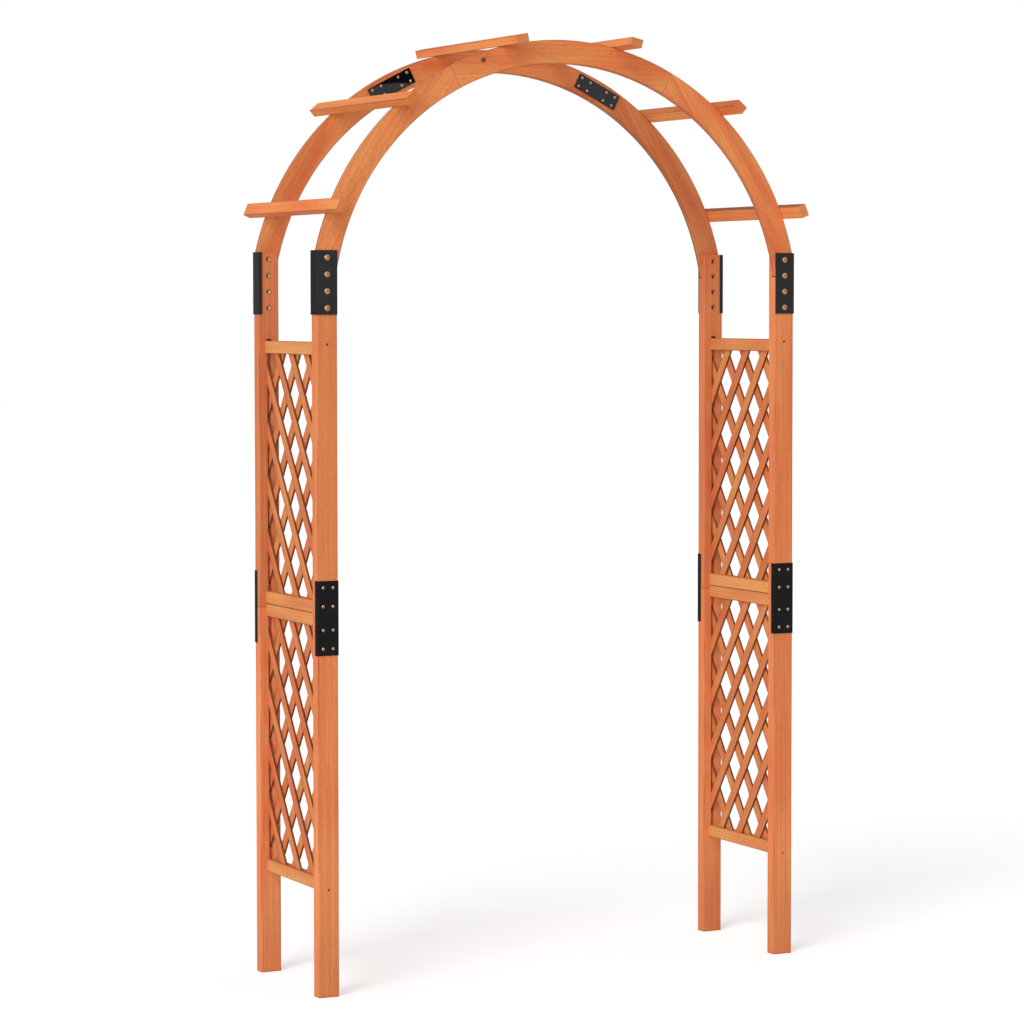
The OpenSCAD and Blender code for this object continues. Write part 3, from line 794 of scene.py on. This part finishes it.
def boltTree():
    tree, size = sizedTree("bracketBoltRows", bolts)
    head = domedBar(tree, size["Head width"], size["Head height"], size["Head dome"])
    socket = hexBar(tree, size["Socket flats"], times(tree, size["Socket depth"], 2.0))
    head = cut(tree, head, [move(tree, socket, combine(tree, z=size["Head height"]))])
    shank = domedBar(tree, size["Bolt width"], size["Bolt length"], size["End dome"], 24, 3)
    bolt = join(tree, [head, move(tree, shank, turn=(math.pi, 0, 0))])
    points = columnPoints(tree, size["Bolts"], size["Post X"], size["Face Y"], size["First Z"], size["Pitch"])
    onBothRows(tree, bolt, points, True, size["Seed"], metalFinish["copperPlate"])
    return tree


bakePiece("bracketBolts", boltTree(), bolts, "bracket_bolts")

nuts = {
    "Sleeve width": 0.0114,
    "Wall": 0.0012,
    "Bottom": 0.003,
    "Length": 0.0085,
    "Nuts": 4,
    "Pitch": 0.0345,
    "Post X": arbor["postX"],
    "Seat Y": 0.151,
    "First Z": 1.525,
    "Seed": 8,
}


# each nut is a thin cup, open towards the space between the rows
def nutTree():
    tree, size = sizedTree("bracketNutRows", nuts)
    outer = times(tree, size["Sleeve width"], 0.5)
    inner = maths(tree, "SUBTRACT", outer, size["Wall"])
    body, hole = [roundBar(tree, radius, size["Length"], 36) for radius in (outer, inner)]
    hole = move(tree, hole, combine(tree, z=size["Bottom"]))
    sleeve = move(tree, cut(tree, body, [hole]), combine(tree, z=times(tree, size["Length"], 0.5)))
    points = columnPoints(tree, size["Nuts"], size["Post X"], size["Seat Y"], size["First Z"], size["Pitch"])
    onBothRows(tree, sleeve, points, False, size["Seed"], metalFinish["paleBrass"])
    return tree


bakePiece("bracketNuts", nutTree(), nuts, "bracket_nuts")


# a domed screw with a crossed recess; its shank runs down from Z = 0
def screwShape(tree, size, domeShare=0.8):
    head = domedBar(tree, size["Head width"], size["Head height"], times(tree, size["Head height"], domeShare), 28, 5)
    slotHeight = times(tree, size["Recess depth"], 2.0)
    arms = []
    for turn in (0, math.pi / 2):
        armSize = combine(tree, size["Recess width"], size["Recess slot"], slotHeight)
        arm = addNode(tree, "GeometryNodeMeshCube", {"Size": armSize}).outputs["Mesh"]
        arms.append(move(tree, arm, combine(tree, z=size["Head height"]), (0, 0, turn)))
    shank = domedBar(tree, size["Screw width"], size["Screw length"], size["Screw width"], 16, 2)
    return join(tree, [cut(tree, head, arms), move(tree, shank, turn=(math.pi, 0, 0))])


plateScrews = {
    "Head width": 0.0068,
    "Head height": 0.0025,
    "Recess width": 0.0036,
    "Recess slot": 0.001,
    "Recess depth": 0.0014,
    "Screw width": 0.004,
    "Screw length": 0.0198,
    "Column gap": 0.022,
    "Near row": 0.0245,
    "Far row": 0.063,
    "Post X": arbor["postX"],
    "Face Y": 0.1715,
    "Joint Z": arbor["jointZ"],
    "Seed": 11,
}


def plateScrewTree():
    tree, size = sizedTree("postPlateScrewRows", plateScrews)
    group = eightPoints(tree, size["Column gap"], size["Near row"], size["Far row"], False)
    points = join(tree, [move(tree, group, combine(tree, x, size["Face Y"], size["Joint Z"]))
                         for x in (size["Post X"], times(tree, size["Post X"], -1.0))])
    onBothRows(tree, screwShape(tree, size), points, True, size["Seed"], metalFinish["dullCopper"])
    return tree


bakePiece("postPlateScrews", plateScrewTree(), plateScrews, "post_plate_screws")

archScrews = {
    "Head width": 0.0065,
    "Head height": 0.0025,
    "Recess width": 0.0034,
    "Recess slot": 0.001,
    "Recess depth": 0.0012,
    "Screw width": 0.004,
    "Screw length": 0.0138,
    "Row gap": 0.02,
    "Near column": 0.0225,
    "Far column": 0.0455,
    "Seam angle": math.radians(arbor["seamAngle"]),
    "Arch radius": arbor["archRadius"],
    "Arch Z": arbor["archZ"],
    "Plate Y": 0.152,
    "Seed": 17,
}


def archScrewTree():
    tree, size = sizedTree("archPlateScrewRows", archScrews)
    group = eightPoints(tree, size["Row gap"], size["Near column"], size["Far column"], True)
    placed = []
    for sign in (1.0, -1.0):
        angle = times(tree, size["Seam angle"], sign)
        x = times(tree, maths(tree, "SINE", angle), size["Arch radius"])
        z = maths(tree, "MULTIPLY_ADD", maths(tree, "COSINE", angle), size["Arch radius"], size["Arch Z"])
        placed.append(move(tree, group, combine(tree, x, size["Plate Y"], z), combine(tree, y=angle)))
    onBothRows(tree, screwShape(tree, size), join(tree, placed), False, size["Seed"], metalFinish["dullCopper"])
    return tree


bakePiece("archPlateScrews", archScrewTree(), archScrews, "arch_plate_screws")
dress("rail_screws", metalFinish["darkZinc"])
print("bolts, nuts and screws made")

studio = {
    "floorColour": (0.88, 0.88, 0.88),
    "floorLift": 0.355,     # glow that only the camera and reflections see
    "floorReach": 40,
    "key": {"strength": 0.95, "from": (-0.58, -0.44, 0.69), "angle": 24},
    "side": {"strength": 1.95, "from": (-0.85, -0.52, 0.05), "angle": 50},
    "fill": 0.49,           # light from all round
}


# white for the camera and for reflections, without lighting the arbor
def seenRay(tree):
    rays = addNode(tree, "ShaderNodeLightPath").outputs
    mirrored = maths(tree, "MAXIMUM", rays["Is Glossy Ray"], rays["Is Transmission Ray"])
    return maths(tree, "MAXIMUM", rays["Is Camera Ray"], mirrored)


def floorMaterial():
    material, tree = emptyMaterial("studioFloor")
    diffuse = addNode(tree, "ShaderNodeBsdfDiffuse", {"Color": (*studio["floorColour"], 1)})
    lift = addNode(tree, "ShaderNodeEmission", {"Strength": times(tree, seenRay(tree), studio["floorLift"])})
    finishMaterial(tree, addNode(tree, "ShaderNodeAddShader", {0: diffuse.outputs[0], 1: lift.outputs[0]}))
    return material


floorMesh = bpy.data.meshes.new("floor")
reach = studio["floorReach"]
floorCorners = [(-reach, -reach, 0), (reach, -reach, 0), (reach, reach, 0), (-reach, reach, 0)]
floorMesh.from_pydata(floorCorners, [], [(0, 1, 2, 3)])
floor = bpy.data.objects.new("floor", floorMesh)
bpy.context.scene.collection.objects.link(floor)
floorMesh.materials.append(floorMaterial())

world = bpy.data.worlds.new("studioWorld")
bpy.context.scene.world = world
world.use_nodes = True
worldTree = world.node_tree
worldTree.nodes.clear()
strength = mapRange(worldTree, seenRay(worldTree), 0.0, 1.0, studio["fill"], 1.0)
backdrop = addNode(worldTree, "ShaderNodeBackground", {"Color": (1, 1, 1, 1), "Strength": strength})
worldOut = addNode(worldTree, "ShaderNodeOutputWorld")
worldTree.links.new(backdrop.outputs[0], worldOut.inputs["Surface"])

for lamp in ("key", "side"):
    data = bpy.data.lights.new(lamp + "Light", "SUN")
    data.energy = studio[lamp]["strength"]
    data.angle = math.radians(studio[lamp]["angle"])
    light = bpy.data.objects.new(lamp + "Light", data)
    light.rotation_euler = Vector(studio[lamp]["from"]).to_track_quat("Z", "Y").to_euler()
    bpy.context.scene.collection.objects.link(light)

camera = {
    "position": (-3.367778, -6.733739, 1.431016),
    "azimuth": 26.3214,
    "pitch": 2.7719,
    "roll": -0.0523,
    "lens": 122.56,
    "sensor": 36,
    "shiftY": -0.039,
    "clipEnd": 200,
}
cameraData = bpy.data.cameras.new("camera")
cameraData.lens = camera["lens"]
cameraData.sensor_width = camera["sensor"]
cameraData.shift_y = camera["shiftY"]
cameraData.clip_end = camera["clipEnd"]
cameraObject = bpy.data.objects.new("camera", cameraData)
turn = (Matrix.Rotation(math.radians(-camera["azimuth"]), 3, "Z")
        @ Matrix.Rotation(math.radians(90 - camera["pitch"]), 3, "X")
        @ Matrix.Rotation(math.radians(camera["roll"]), 3, "Z"))
cameraObject.rotation_euler = turn.to_euler()
cameraObject.location = camera["position"]
bpy.context.scene.collection.objects.link(cameraObject)
bpy.context.scene.camera = cameraObject
bpy.context.scene.view_settings.view_transform = "Standard"
print("studio set")
